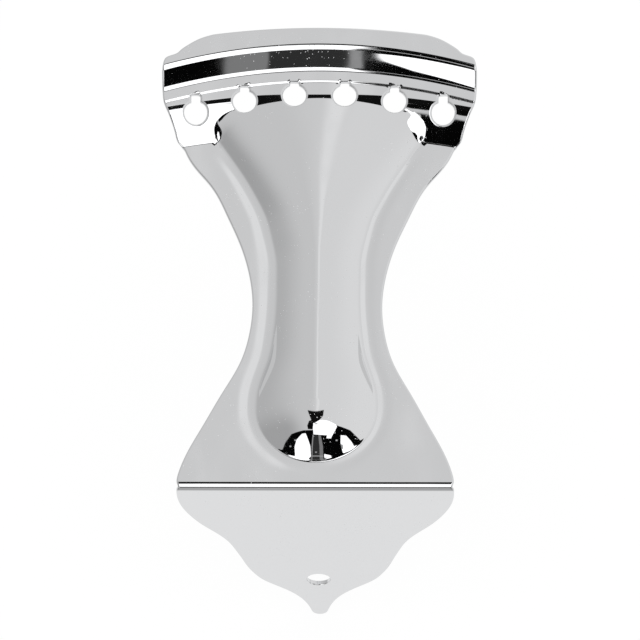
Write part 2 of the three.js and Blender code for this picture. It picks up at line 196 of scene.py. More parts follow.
# Half widths by place along the plate, and the flange's by depth under the plate's face
plate_outline = spline([
    (0.5, 27.88), (2.6, 27.5), (6.7, 26.0), (13.4, 22.6), (20.2, 19.1), (26.9, 15.6), (33.7, 13.65),
    (WAIST_PLACE, 13.05), (47.2, 13.8), (54.0, 15.7), (60.75, 18.5), (67.5, 22.0), (70.2, 24.15),
    (72.9, 26.0), (75.6, 27.2),
], start_slope=0)
ridge_foot = spline([
    (RIDGE_END, RIDGE_END_RADIUS), (20.0, 11.85), (24.5, 10.8), (28.2, 9.65), (32.8, 8.85), (37.3, 8.4),
    (41.8, 8.2), (46.3, 8.2), (50.8, 8.35), (55.3, 9.2), (59.8, 10.35), (64.3, 12.35), (68.8, 14.75),
    (73.3, 17.6), (76.7, 19.8), (86.0, 26.0),
], start_slope=0)
hood_outline = spline([
    (EAR_TOP, 27.2), (76.1, 28.0), (77.7, 28.8), (80.4, 29.7), (82.6, 30.6), (84.7, 31.35), (86.8, 31.5),
    (HOOD_END, 31.5),
])
lip_outline = spline([
    (HOOD_END, 31.5), (92.4, 31.2), (93.05, 30.6), (93.75, 28.7), (94.35, 28.1), (95.3, 27.0), (96.55, 25.1),
    (97.3, 23.6), (LIP_CORNER, 21.5),
])
flange_outline = spline([
    (1.5, 27.9), (3.9, 27.85), (6.6, 27.5), (9.2, 26.8), (11.9, 25.7), (14.5, 24.35), (17.2, 22.6),
    (19.8, 20.6), (22.5, 18.75), (25.1, 17.45), (27.8, 16.5), (30.4, 15.65), (33.1, 14.85), (35.8, 13.95),
    (38.4, 12.75), (41.1, 11.0), (43.7, 8.25), (46.4, 5.5), (49.0, 3.65), (51.7, 2.45), (54.3, 1.7),
])
waist, ridge_there = plate_outline(WAIST_PLACE), ridge_foot(WAIST_PLACE)
print("half waist", waist.round(2), "mm, half ridge there", ridge_there.round(2), "mm")

# %% [markdown]
# ## Steps and ridge as heights
#
# A press tool draws two forms in the plate: a ridge down the middle and a staircase across the far end.
# Each is a height over the flat plate. The sheet lies on whichever is higher, run together in a small
# hollow blend, so the valleys between ridge and ramp come out by themselves, just as they do between two
# cutters.
#
# The press also pulls the flat sheet in beside the ridge, and there it sinks by a fiftieth of a millimetre.
# That is too little to see as a shape, but a mirror shows it.

# %% Steps across the far end
ROW_TURN = 4.0
ROW_SPACING = 0.6
ROW_CLOSEST = 0.08


def make_step(pairs):
    """A rising step, given as places and slopes in degrees; in between, the slope changes evenly.

    Its height is the running sum of the slopes' tangents. Its rows are places for mesh points, about one for
    each 4 degrees of turn and each 0.6 mm, but no closer than 0.08 mm.
    """
    places, degrees = np.array(pairs, float).T
    fine = np.linspace(places[0], places[-1], 8001)
    rise = np.tan(np.radians(np.interp(fine, places, degrees)))
    height = np.concatenate([[0], np.cumsum((rise[1:] + rise[:-1]) / 2 * np.diff(fine))])
    counts = np.abs(np.diff(degrees)) / ROW_TURN + np.diff(places) / ROW_SPACING
    counts = np.minimum(counts, np.diff(places) / ROW_CLOSEST)
    share = np.concatenate([[0], np.cumsum(counts)]) / counts.sum()
    rows = np.interp(np.linspace(0, 1, math.ceil(counts.sum()) + 1), share, places)
    ends = {"foot": places[0], "top": places[-1], "rise": height[-1]}
    return {**ends, "fine": fine, "height": height, "rows": rows}


RAMP = make_step([(78.15, 0), (78.5, 26.5), (82.0, 26.5), (83.0, 22.5), (84.3, 21.5), (86.6, 0)])
LEDGE = make_step([(88.65, 0), (88.75, 29), (89.05, 29), (89.15, 0)])
WALL = make_step([
    (91.1, 0), (91.33, 15), (91.95, 29), (92.6, 38), (93.6, 44), (94.5, 45), (94.7, 29), (95.55, 15),
    (95.95, 0),
])
for name, step in (("ramp", RAMP), ("ledge", LEDGE), ("wall", WALL)):
    print(name, "rises", round(step["rise"], 3), "mm on", len(step["rows"]), "rows")


def step_height(step, place):
    """Height of one step, by its running sum."""
    return np.interp(place, step["fine"], step["height"])


def along_bow(x, y, radius=BOW_RADIUS):
    """The hood's steps are bowed: a point's place is where its bow crosses the middle line."""
    return y + x**2 / (2 * radius)


# %% The ridge
RIDGE_END_HEIGHT = 5.25
RIDGE_HEIGHT = 3.3
RIDGE_MOUTH_DROP = 0.025
RIDGE_WAIST = 42.0
RIDGE_MOUTH = 80.0
END_STEEPNESS = 1.65
SIDE_STEEPNESS = 0.98
SHOULDER_STEEPNESS = 1.08
SHOULDER = 27.5
SHOULDER_REACH = 9.0
CAMBER_SHARE = 0.3


def ridge_rise(x, y):
    """Height of the ridge over the plate.

    With t as the share of the way out from the middle to the foot, the height is the crown's times
    1 - a t^2 - (1 - a) t^p. The power p is whatever gives the foot its steepness, so a wide section is
    flat on top and a narrow one is round. Beyond its round end the way out is counted from the end's
    centre, and the foot is steepest right in front. It is a little steeper again at the shoulders, where the
    ridge narrows. Outside the foot the height runs on downwards, for the blend.
    """
    probe = 0.01
    flare = (ridge_foot(y + probe) - ridge_foot(y - probe)) / (2 * probe)
    at_end = y < RIDGE_END
    width = np.where(at_end, RIDGE_END_RADIUS, ridge_foot(y))
    reach = np.where(at_end, np.hypot(x, y - RIDGE_END), np.abs(x))
    square = np.where(at_end, 1, np.hypot(1, flare))
    to_waist, to_mouth = ease(y, RIDGE_END, RIDGE_WAIST), ease(y, RIDGE_WAIST, RIDGE_MOUTH)
    crown = RIDGE_END_HEIGHT + (RIDGE_HEIGHT - RIDGE_END_HEIGHT) * to_waist
    crown = crown + (RAMP["rise"] - RIDGE_MOUTH_DROP - RIDGE_HEIGHT) * to_mouth
    front = np.where(at_end, ((RIDGE_END - y) / np.maximum(reach, probe)) ** 2, 0)
    shoulder = np.clip(1 - ((y - SHOULDER) / SHOULDER_REACH) ** 2, 0, 1)
    steepness = SIDE_STEEPNESS + (END_STEEPNESS - SIDE_STEEPNESS) * front
    steepness = steepness + (SHOULDER_STEEPNESS - SIDE_STEEPNESS) * shoulder
    camber = CAMBER_SHARE * to_mouth
    power = (width / square * steepness / crown - 2 * camber) / (1 - camber)
    t = np.clip(reach / width, 0, 1)
    inward = (width - reach) / square
    return np.where(inward < 0, inward * steepness, crown * (1 - camber * t**2 - (1 - camber) * t**power))


middle_line = np.linspace(RIDGE_END, RIDGE_MOUTH, 5)
print("ridge", ridge_rise(np.zeros(5), middle_line).round(2), "mm high at", middle_line.round(1))


# %% The sunk margin beside it
TROUGH_DEPTH = 0.02
TROUGH_PLACE = 1.6
TROUGH_WIDTH = 1.3
TROUGH_FADE = (68.0, 76.0)


def trough(x, y):
    """How far the sheet sinks round the ridge, where the press pulled it in.

    It is a bell curve over the distance from the ridge's foot, eased away before the ramp.
    """
    past_side = np.abs(x) - ridge_foot(y)
    past_end = np.hypot(x, y - RIDGE_END) - RIDGE_END_RADIUS
    away = np.where(y < RIDGE_END, past_end, past_side)
    return TROUGH_DEPTH * np.exp(-(((away - TROUGH_PLACE) / TROUGH_WIDTH) ** 2)) * (1 - ease(y, *TROUGH_FADE))


print("sunk by", trough(ridge_there + TROUGH_PLACE, WAIST_PLACE).round(3), "mm beside the ridge's waist")


# %% The whole pressing
FOOT_BLEND = 0.4
CROWN_BLEND = 0.22
VALLEY_BLEND = 0.9
VALLEY_SHARE = 0.8
LEDGE_SPREAD = 0.8


def pressed_height(x, y, crisp):
    """Ridge and steps, whichever is higher, with a hollow blend where the two are nearly level.

    The blend adds most, a quarter of its own depth, where they meet. It is deepest in the valleys between the
    ramp and the ridge's sides. The ledge is crisp in the upper face, and eased in the lower one.
    """
    place = along_bow(x, y)
    ramp_place = along_bow(x, y, RAMP_BOW_RADIUS)
    soft_ledge = LEDGE["rise"] * ease(place, LEDGE["foot"] - LEDGE_SPREAD, LEDGE["top"] + LEDGE_SPREAD)
    ledge = step_height(LEDGE, place) if crisp else soft_ledge
    steps = step_height(RAMP, ramp_place) + ledge + step_height(WALL, place)
    ridge = ridge_rise(x, y)
    higher = np.maximum(steps, ridge)
    blend = FOOT_BLEND + (CROWN_BLEND - FOOT_BLEND) * np.clip(higher / RIDGE_HEIGHT, 0, 1)
    on_ramp = np.clip(steps / (RAMP["rise"] * VALLEY_SHARE), 0, 1)
    blend = blend + VALLEY_BLEND * 4 * on_ramp * (1 - on_ramp)
    closeness = np.clip(1 - np.abs(steps - ridge) / blend, 0, 1)
    return higher + blend * closeness**2 / 4 - trough(x, y)


lip_height = pressed_height(np.zeros(1), np.array([LIP_EDGE]), True)[0]
print("the lip lies", round(lip_height, 2), "mm over the plate")

# %% [markdown]
# ## One sheet, unrolled
#
# The sheet is described on its flat blank: x across, and v along it, from the lip's edge down through the
# fold to the flange's tip. Each blank point has a place and an outward direction in space. The plate's part
# is the height over the plate, with its direction from the height's slopes. The fold's part is a quarter
# turn, and the flange hangs straight down from it.
#
# A sheet that is folded over a bar doesn't bend in an even round: it leaves the plate gently, turns sharply
# over the bar's edge and straightens out again. The outer face follows such a list of bends, the inner one
# the bar.


# %% Bends of the fold
def bend_profile(bends):
    """A quarter turn from (length, degrees) bends, as shares of its length against turn, run and drop.

    Run and drop are the running sums of the turn's cosine and sine, each scaled to end at the fold's radius.
    """
    lengths, degrees = np.array(bends, float).T
    knots = np.concatenate([[0], np.cumsum(lengths)])
    fine = np.linspace(0, knots[-1], 4001)
    turn = np.radians(np.interp(fine, knots, np.concatenate([[0], np.cumsum(degrees)])))
    run = np.concatenate([[0], np.cumsum((np.cos(turn[1:]) + np.cos(turn[:-1])) / 2)])
    drop = np.concatenate([[0], np.cumsum((np.sin(turn[1:]) + np.sin(turn[:-1])) / 2)])
    return fine / knots[-1], turn, run / run[-1] * FOLD_RADIUS, drop / drop[-1] * FOLD_RADIUS


FOLD_BENDS = bend_profile([(0.03, 0), (0.64, 14.6), (0.58, 14.4), (0.15, 29.5), (1.12, 31.5)])
print("the fold turns", round(math.degrees(FOLD_BENDS[1][-1])), "degrees")


# %% From the blank to the folded sheet
def sheet_point(x, v, crisp=True):
    """Place and outward direction of each blank point (x, v), as two arrays of rows."""
    probe = 0.01
    on_plate = v >= FOLD_START
    y = np.maximum(v, FOLD_START)
    height = pressed_height(x, y, crisp)
    slope_x = (pressed_height(x + probe, y, crisp) - pressed_height(x - probe, y, crisp)) / (2 * probe)
    slope_y = (pressed_height(x, y + probe, crisp) - pressed_height(x, y - probe, crisp)) / (2 * probe)
    plate = np.column_stack([x, y, PLATE_TOP + height])
    plate_out = np.column_stack([-slope_x, -slope_y, np.ones_like(x)])
    plate_out /= np.linalg.norm(plate_out, axis=1, keepdims=True)

    share = np.clip((FOLD_START - v) / FOLD_LENGTH, 0, 1)
    hang = np.maximum(FOLD_START - FOLD_LENGTH - v, 0)
    if crisp:
        turn, run, drop = (np.interp(share, FOLD_BENDS[0], column) for column in FOLD_BENDS[1:])
    else:
        turn = share * math.pi / 2
        run, drop = FOLD_RADIUS * np.sin(turn), FOLD_RADIUS * (1 - np.cos(turn))
    folded_out = np.column_stack([np.zeros_like(x), -np.sin(turn), np.cos(turn)])
    folded = np.column_stack([x, FOLD_START - run, PLATE_TOP - drop - hang])
    chosen = on_plate[:, None]
    return np.where(chosen, plate, folded), np.where(chosen, plate_out, folded_out)


def bow_radius(place):
    """Bow radius of the hood's rows: the ramp's, then the steps', then flatter again to the lip's edge."""
    to_steps = np.clip((place - RAMP["top"]) / (LEDGE["foot"] - RAMP["top"]), 0, 1)
    to_edge = np.clip((place - WALL["top"]) / (LIP_EDGE - WALL["top"]), 0, 1)
    steps = RAMP_BOW_RADIUS + (BOW_RADIUS - RAMP_BOW_RADIUS) * to_steps
    return steps + (LIP_EDGE_BOW_RADIUS - BOW_RADIUS) * to_edge


# A depth under the plate's face lies on the blank at FLANGE_V less that depth
FLANGE_V = FOLD_START - FOLD_LENGTH + FOLD_RADIUS
tip_place, tip_out = sheet_point(np.zeros(1), np.array([FLANGE_V - FLANGE_DEPTH]))
print("the flange's tip is at", tip_place[0].round(2), "and faces", tip_out[0].round(2))

# %% [markdown]
# ## The blank's outline
#
# The outline runs up the right side: round the tip, along the flange, past the small inset at the fold, up
# the plate's waist and ear, up the hood's end and round the lip to the middle. The left side mirrors it. It
# is then walked in even steps, and eased a little, because a punch never leaves a perfectly sharp corner.


# %% Outline of the blank
def right_half():
    """Points of the right half of the blank's outline, from the tip to the middle of the lip."""
    angle = np.linspace(0, math.pi / 2, 12)[:-1]
    tip_depth = FLANGE_DEPTH - TIP_RADIUS
    tip = np.column_stack([TIP_RADIUS * np.sin(angle), FLANGE_V - tip_depth - TIP_RADIUS * np.cos(angle)])
    depth = np.linspace(tip_depth, FOLD_RADIUS, 150)
    flange = np.column_stack([flange_outline(depth), FLANGE_V - depth])
    share = np.linspace(0, 1, 14)[1:-1]
    inset = FOLD_INSET * np.sin(math.pi * share) ** 2
    fold = np.column_stack([FOLD_HALF_WIDTH - inset, FOLD_START - FOLD_LENGTH * (1 - share)])
    place = np.linspace(FOLD_START, EAR_TOP - 0.1, 220)
    plate = np.column_stack([plate_outline(place), place])
    y = np.linspace(EAR_TOP, HOOD_END, 60)
    hood = np.column_stack([hood_outline(y), y])
    y = np.linspace(HOOD_END, LIP_CORNER, 60)[1:]
    lip = np.column_stack([lip_outline(y), y])
    x = np.linspace(lip[-1, 0], 0, 40)[1:]
    front = np.column_stack([x, LIP_EDGE - x**2 / (2 * LIP_EDGE_BOW_RADIUS)])
    return np.vstack([tip, flange, fold, plate, hood, lip, front])


def walk_evenly(points, step):
    """The same closed line as points that lie step apart, found by its length."""
    closed = np.vstack([points, points[:1]])
    lengths = np.concatenate([[0], np.cumsum(np.linalg.norm(np.diff(closed, axis=0), axis=1))])
    count = int(round(lengths[-1] / step))
    along = np.arange(count) * lengths[-1] / count
    return np.column_stack([np.interp(along, lengths, closed[:, axis]) for axis in (0, 1)])


def soften(points, passes):
    """Eases the corners of a closed line: each point moves towards the mean of its neighbours."""
    for _ in range(passes):
        points = (np.roll(points, 1, axis=0) + 2 * points + np.roll(points, -1, axis=0)) / 4
    return points


def outward(points):
    """Directions square to a closed line that runs anticlockwise, pointing away from its inside."""
    along = np.roll(points, -1, axis=0) - np.roll(points, 1, axis=0)
    away = np.column_stack([along[:, 1], -along[:, 0]])
    return away / np.linalg.norm(away, axis=1, keepdims=True)


OUTLINE_STEP = 0.3
half = right_half()
left = half[1:-1][::-1] * (-1, 1)
outline = walk_evenly(np.vstack([half, left]), OUTLINE_STEP)
outline = soften(outline, 3)
print("outline of", len(outline), "points,", round(len(outline) * OUTLINE_STEP), "mm round")

# %% [markdown]
# ## Keyholes and the end-pin hole
#
# A ball end drops through a keyhole's round part and its string slides up into the slot. The six keyholes
# are set out on a bow of their own, about 10 mm apart, which is how far apart the strings are.


# %% Outlines of the holes
STRING_COUNT = 6
STRING_SPACING = 10.1
KEYHOLE_BOW_RADIUS = 79.0
KEYHOLE_PLACE = 86.13
KEYHOLE_RADIUS = 2.3
SLOT_HALF_WIDTH = 0.9
SLOT_END = 88.75
SLOT_CORNER = 0.35
END_PIN_RADIUS = 2.35


def keyhole(x, grown):
    """A round hole with a slot up from it, grown outwards all round.

    It is walked anticlockwise from the slot's left foot.
    """
    y = KEYHOLE_PLACE - x**2 / (2 * KEYHOLE_BOW_RADIUS)
    end = SLOT_END - x**2 / (2 * BOW_RADIUS) + grown
    radius, half_width, corner = KEYHOLE_RADIUS + grown, SLOT_HALF_WIDTH + grown, SLOT_CORNER + grown
    mouth = math.acos(half_width / radius)
    angle = np.linspace(math.pi - mouth, 2 * math.pi + mouth, 64)
    round_part = np.column_stack([x + radius * np.cos(angle), y + radius * np.sin(angle)])
    height = np.linspace(y + radius * math.sin(mouth), end - corner, 8)[1:]
    side = np.column_stack([np.full_like(height, half_width), height])
    turn = np.linspace(0, math.pi / 2, 6)[1:]
    bend = corner * np.column_stack([np.cos(turn), np.sin(turn)]) + (half_width - corner, end - corner)
    right = np.vstack([side, bend])
    left = right[::-1] * (-1, 1)
    return np.vstack([round_part, right + (x, 0), left + (x, 0)])


def round_hole(v, radius):
    """A round hole on the middle line."""
    angle = np.linspace(0, 2 * math.pi, 73)[:-1]
    return np.column_stack([np.cos(angle), np.sin(angle)]) * radius + (0, v)


middle_string = (STRING_COUNT - 1) / 2
turns = (np.arange(STRING_COUNT) - middle_string) * STRING_SPACING / KEYHOLE_BOW_RADIUS
string_places = KEYHOLE_BOW_RADIUS * np.sin(turns)
pin_v = FLANGE_V - PLATE_TOP
holes = [keyhole(x, 0) for x in string_places] + [round_hole(pin_v, END_PIN_RADIUS)]
hole_rims = [keyhole(x, KEYHOLE_EDGE_RADIUS) for x in string_places]
hole_rims.append(round_hole(pin_v, END_PIN_RADIUS + PIN_EDGE_RADIUS))
print(len(holes), "holes, keyholes at x =", string_places.round(1))

# %% [markdown]
# ## Where the points lie
#
# Chrome mirrors its surroundings, so facets would show as broken lines. The points therefore follow the
# form: rings round the ridge's end, columns that run along the ridge's foot, rows that run along the hood's
# bow, close together where the sheet bends sharply and wide apart where it is flat. One even grid would
# need ten times as many points for the same reflection.


# %% Crease between the ramp and the ridge
CREASE_REACH = 20.5
CREASE_OFFSETS = np.array([0, 0.08, 0.16, 0.26, 0.38, 0.52, 0.68, 0.86])


def crease_line():
    """Where the ramp and the ridge are equally high, from the middle to the ridge's foot, by halving."""
    x = np.linspace(0, CREASE_REACH, 90)
    low = np.full_like(x, RAMP["foot"])
    high = np.full_like(x, RAMP["top"] + 1)
    for _ in range(40):
        place = (low + high) / 2
        above = step_height(RAMP, place) > ridge_rise(x, place - x**2 / (2 * RAMP_BOW_RADIUS))
        low, high = np.where(above, low, place), np.where(above, place, high)
    return np.column_stack([x, low - x**2 / (2 * RAMP_BOW_RADIUS)])


def beside(line, offsets):
    """Copies of an open line, each moved squarely aside by one offset."""
    along = np.gradient(line, axis=0)
    away = np.column_stack([along[:, 1], -along[:, 0]])
    away /= np.linalg.norm(away, axis=1, keepdims=True)
    return np.vstack([line + away * offset for offset in offsets])


crease = crease_line()
crease_rows = beside(crease, np.concatenate([-CREASE_OFFSETS[:0:-1], CREASE_OFFSETS]))
crease_rows = crease_rows[crease_rows[:, 0] >= 0]
print("crease from", crease[0].round(2), "to", crease[-1].round(2), "with", len(crease_rows), "points")


# %% Points of the ridge
TROUGH_REACH = 4.4
FOOT_REACH = 0.9
FLANK_REACH = 9.4
CORE_REACH = 2.2
RIDGE_SPACING = 0.5
CROWN_SPACING = 0.8


def spaced(*stretches):
    """Places from stretches of (start, end, step), joined into one rising list."""
    runs = [np.linspace(a, b, max(2, int(math.ceil((b - a) / step)) + 1))[:-1] for a, b, step in stretches]
    return np.concatenate(runs + [[stretches[-1][1]]])


def ridge_end_points(from_foot):
    """Rings round the ridge's end, and a small grid in the middle of them."""
    ring, turn = np.meshgrid(RIDGE_END_RADIUS - from_foot, np.linspace(0, math.pi, 110), indexing="ij")
    rings = np.column_stack([(ring * np.cos(turn)).ravel(), (RIDGE_END - ring * np.sin(turn)).ravel()])
    core = np.linspace(-CORE_REACH, CORE_REACH, 7)
    core = np.column_stack([axis.ravel() for axis in np.meshgrid(core, RIDGE_END + core - CORE_REACH - 0.2)])
    core = core[np.hypot(core[:, 0], core[:, 1] - RIDGE_END) < CORE_REACH + 0.1]
    return np.vstack([rings[rings[:, 1] > FOLD_START + 0.5], core])


def ridge_side_points(from_foot):
    """Columns along the ridge's foot, and wider ones that share out its crown."""
    places = np.arange(RIDGE_END + 0.45, RIDGE_MOUTH, RIDGE_SPACING)
    place, aside = np.meshgrid(places, from_foot, indexing="ij")
    side = np.column_stack([(ridge_foot(place) - aside).ravel(), place.ravel()])
    places = np.arange(RIDGE_END, RIDGE_MOUTH, CROWN_SPACING)
    place, share = np.meshgrid(places, np.linspace(0, 0.95, 9), indexing="ij")
    x = share * np.maximum(ridge_foot(place) - FLANK_REACH - 0.4, 0)
    return np.vstack([side[side[:, 0] > 0.35], np.column_stack([x.ravel(), place.ravel()])])


foot_rows = spaced(
    (-TROUGH_REACH, -FOOT_REACH, 0.4), (-FOOT_REACH, FOOT_REACH, 0.12), (FOOT_REACH, FLANK_REACH, 0.42)
)
ridge_area = np.vstack([ridge_end_points(foot_rows), ridge_side_points(foot_rows)])
print(len(ridge_area), "points on half the ridge")


# %% Points of the flats and the fold
FLAT_CLEARANCE = TROUGH_REACH + 0.4
FLAT_SPACING = 1.1
FOLD_CLEARANCE = 0.4
FOLD_SPACING = 0.9
FOLD_CLOSEST = 0.05


def flat_points():
    """Wide rows over the flat plate outside the ridge, and over the flange."""
    x, v = np.meshgrid(np.arange(0, 31, FLAT_SPACING), np.arange(-60, 79, FLAT_SPACING), indexing="ij")
    x, v = x.ravel(), v.ravel()
    inside_end = (v < RIDGE_END) & (np.hypot(x, v - RIDGE_END) < RIDGE_END_RADIUS + FLAT_CLEARANCE)
    beside_ridge = (v >= RIDGE_END) & (x < ridge_foot(v) + FLAT_CLEARANCE)
    near_fold = (v < FOLD_START + FOLD_CLEARANCE) & (v > FOLD_START - FOLD_LENGTH - FOLD_CLEARANCE)
    return np.column_stack([x, v])[~(inside_end | beside_ridge | near_fold)]


def fold_points():
    """Rows round the fold, closer together where it bends more sharply."""
    share, turn = FOLD_BENDS[:2]
    dense = np.linspace(0, 1, 400)
    sharpness = np.gradient(np.interp(dense, share, turn), dense)
    counts = np.minimum(sharpness / math.radians(4) + 8, FOLD_LENGTH / FOLD_CLOSEST)
    rows = np.concatenate([[0], np.cumsum((counts[1:] + counts[:-1]) / 2 * np.diff(dense))])
    rows = np.interp(np.linspace(0, 1, int(rows[-1]) + 1), rows / rows[-1], dense)
    x, v = np.meshgrid(np.arange(0, 29, FOLD_SPACING), FOLD_START - rows * FOLD_LENGTH, indexing="ij")
    return np.column_stack([x.ravel(), v.ravel()])


flat_area, fold_area = flat_points(), fold_points()
print(len(flat_area), "points on half the flats,", len(fold_area), "on half the fold")


# %% Points of the hood
HOOD_ROWS_START = 77.4
HOOD_SPACING = 0.6


def hood_points():
    """Rows along the bow, from just under the ramp's foot to the lip, in columns square to the bow."""
    levels = [
        spaced((HOOD_ROWS_START, RAMP["foot"], 0.4)),
        RAMP["rows"],
        spaced((RAMP["top"], LEDGE["foot"], HOOD_SPACING)),
        LEDGE["rows"],
        spaced((LEDGE["top"], WALL["foot"], HOOD_SPACING)),
        WALL["rows"],
        spaced((WALL["top"], LIP_EDGE, HOOD_SPACING)),
    ]
    places = np.unique(np.concatenate(levels).round(4))
    place, x = np.meshgrid(places, np.arange(0, 35, HOOD_SPACING), indexing="ij")
    radius = bow_radius(place)
    x = x * (1 + (place - LEDGE["foot"]) / radius)
    return np.column_stack([x.ravel(), (place - x**2 / (2 * radius)).ravel()])


hood_area = hood_points()
print(len(hood_area), "points on half the hood")


# %% All points inside the outline
CREASE_CLEARANCE = 1.0
MIDDLE_WIDTH = 0.05


def before_hood(points, gap):
    """The points that lie more than a gap before the hood's first row."""
    return points[along_bow(points[:, 0], points[:, 1], RAMP_BOW_RADIUS) < HOOD_ROWS_START - gap]


def distance_to(points, line):
    """Each point's distance to the nearest point of a line, worked out in slices."""
    slices = np.array_split(points, max(1, len(points) // 2000))
    return np.concatenate([np.sqrt(((part[:, None] - line) ** 2).sum(2)).min(1) for part in slices])


base = np.vstack([before_hood(ridge_area, 0.2), before_hood(flat_area, 0.4), fold_area, hood_area])
half_points = np.vstack([base[distance_to(base, crease) > CREASE_CLEARANCE], crease_rows])
mirrored = half_points[half_points[:, 0] > MIDDLE_WIDTH] * (-1, 1)
inside_points = np.vstack([half_points, mirrored])
print(len(inside_points), "points before the outline and the holes are cut")

# %% [markdown]
# ## Cutting the blank
#
# The points inside the outline and outside the holes are joined into triangles by a Delaunay triangulation,
# which never makes a sliver where a fair triangle is possible, and which keeps the outline and the holes as
# edges. A boolean cut would do it too, but it leaves long slivers and loses the directions that make the
# chrome look smooth.


# %% Triangles of the blank
def is_inside(points, loop):
    """True for the points inside a closed line: a ray from each crosses it an odd number of times."""
    start, end = loop, np.roll(loop, -1, axis=0)
    inside = []
    for part in np.array_split(points, max(1, len(points) // 2000)):
        x, v = part[:, :1], part[:, 1:]
        spans = (start[:, 1] > v) != (end[:, 1] > v)
        rise = np.where(end[:, 1] == start[:, 1], 1, end[:, 1] - start[:, 1])
        crossing = start[:, 0] + (v - start[:, 1]) / rise * (end[:, 0] - start[:, 0])
        inside.append((spans & (x < crossing)).sum(1) % 2 == 1)
    return np.concatenate(inside)


CLOSEST = 0.03
RIM_CLEARANCE = 0.16


def triangulate(points, loops):
    """Delaunay triangles between the loops, whose points come first in the returned list."""
    kept = points[is_inside(points, loops[0])]
    for loop in loops[1:]:
        kept = kept[~is_inside(kept, loop)]
    kept = kept[distance_to(kept, np.vstack(loops)) > RIM_CLEARANCE]
    _, firsts = np.unique((kept / CLOSEST).round().astype(int), axis=0, return_index=True)
    everything = np.vstack(loops + [kept[np.sort(firsts)]])
    edges = []
    first = 0
    for loop in loops:
        numbers = np.arange(len(loop))
        edges.append(np.column_stack([numbers, np.roll(numbers, -1)]) + first)
        first += len(loop)
    result = delaunay_2d_cdt(everything.tolist(), np.vstack(edges).tolist(), [], 1, 1e-6, False)
    assert len(result[0]) == len(everything), "two points fell together"
    triangles = np.array(result[2])
    centres = everything[triangles].mean(axis=1)
    for loop, wanted in zip(loops, [True] + [False] * (len(loops) - 1)):
        chosen = is_inside(centres, loop) == wanted
        triangles, centres = triangles[chosen], centres[chosen]
    corners = everything[triangles]
    first_side, second_side = corners[:, 1] - corners[:, 0], corners[:, 2] - corners[:, 0]
    turned = first_side[:, 0] * second_side[:, 1] - first_side[:, 1] * second_side[:, 0] < 0
    triangles[turned] = triangles[turned][:, ::-1]
    return everything, triangles


# The flat faces end where the rounded edges start
face_outline = outline - outward(outline) * EDGE_RADIUS
blank, blank_triangles = triangulate(inside_points, [face_outline] + hole_rims)
print(len(blank), "points and", len(blank_triangles), "triangles a side")

# %% [markdown]
# ## Two faces and a rounded edge
#
# The lower face is the upper one moved in by the sheet's thickness, squarely to the sheet, so the sheet is
# equally thick round every bend. Only the ledge is eased there, and the fold is an even round. A small
# quarter round, carried along every cut edge and hole, joins the faces: the plating pass before chroming
# softens each burr, and that round is what catches the light.


# %% Rounded edges
EDGE_ANGLES = np.linspace(0, math.pi / 2, 5)


def edge_rings(face_loop, wall_loop, radius):
    """Rings that carry a rounded edge from the upper face, down the cut wall, to the lower face.

    Each ring lies between the face's loop and the wall's by the sine of its angle, and under the face by
    the radius times one less the cosine. Its direction turns from the face's own to the wall's.
    """
    rings = []
    down = [(True, angle) for angle in EDGE_ANGLES[1:]] + [(False, angle) for angle in EDGE_ANGLES[:0:-1]]
    for crisp, turn in down:
        sine, cosine = math.sin(turn), math.cos(turn)
        loop = face_loop + (wall_loop - face_loop) * sine
        place, out = sheet_point(loop[:, 0], loop[:, 1], crisp)
        away = sheet_point(wall_loop[:, 0], wall_loop[:, 1], crisp)[0]
        away = away - sheet_point(face_loop[:, 0], face_loop[:, 1], crisp)[0]
        away -= out * (away * out).sum(1, keepdims=True)
        away /= np.linalg.norm(away, axis=1, keepdims=True)
        sunk = radius * (1 - cosine)
        depth = sunk if crisp else THICKNESS - sunk
        rings.append((place - out * depth, sine * away + (cosine if crisp else -cosine) * out))
    return rings


outline_rings = edge_rings(face_outline, outline, EDGE_RADIUS)
print(len(outline_rings), "rings of", len(outline), "points carry the outline's edge")


# %% Both faces and the edges
def build_sheet():
    """Vertices, directions and triangles of the whole closed sheet."""
    top, top_out = sheet_point(blank[:, 0], blank[:, 1])
    soft, bottom_out = sheet_point(blank[:, 0], blank[:, 1], crisp=False)
    count = len(blank)
    places, directions = [top, soft - bottom_out * THICKNESS], [top_out, -bottom_out]
    faces = [blank_triangles, blank_triangles[:, ::-1] + count]
    used, first = 2 * count, 0
    radii = [EDGE_RADIUS] + [KEYHOLE_EDGE_RADIUS] * STRING_COUNT + [PIN_EDGE_RADIUS]
    for number, (face_loop, wall_loop) in enumerate(zip([face_outline] + hole_rims, [outline] + holes)):
        size = len(face_loop)
        numbers = [np.arange(first, first + size)]
        for place, direction in edge_rings(face_loop, wall_loop, radii[number]):
            numbers.append(np.arange(used, used + size))
            places.append(place)
            directions.append(direction)
            used += size
        numbers.append(numbers[0] + count)
        for upper, lower in zip(numbers[:-1], numbers[1:]):
            upper_next, lower_next = np.roll(upper, -1), np.roll(lower, -1)
            first_half = np.column_stack([upper, lower, upper_next])
            strip = [first_half, np.column_stack([upper_next, lower, lower_next])]
            faces += strip if number == 0 else [part[:, ::-1] for part in strip]
        first += size
    return np.vstack(places), np.vstack(directions), np.vstack(faces)


def make_mesh(name, places, directions, faces):
    """A Blender mesh from arrays, in metres, shaded by the given directions."""
    mesh = bpy.data.meshes.new(name)
    mesh.from_pydata((places / 1000).tolist(), [], faces.tolist())
    mesh.update()
    mesh.normals_split_custom_set_from_vertices(directions.tolist())
    piece = bpy.data.objects.new(name, mesh)
    bpy.context.scene.collection.objects.link(piece)
    return piece


sheet_places, sheet_directions, sheet_faces = build_sheet()
tailpiece = make_mesh("tailpiece_sheet", sheet_places, sheet_directions, sheet_faces)
print("sheet of", len(sheet_places), "vertices and", len(sheet_faces), "triangles")

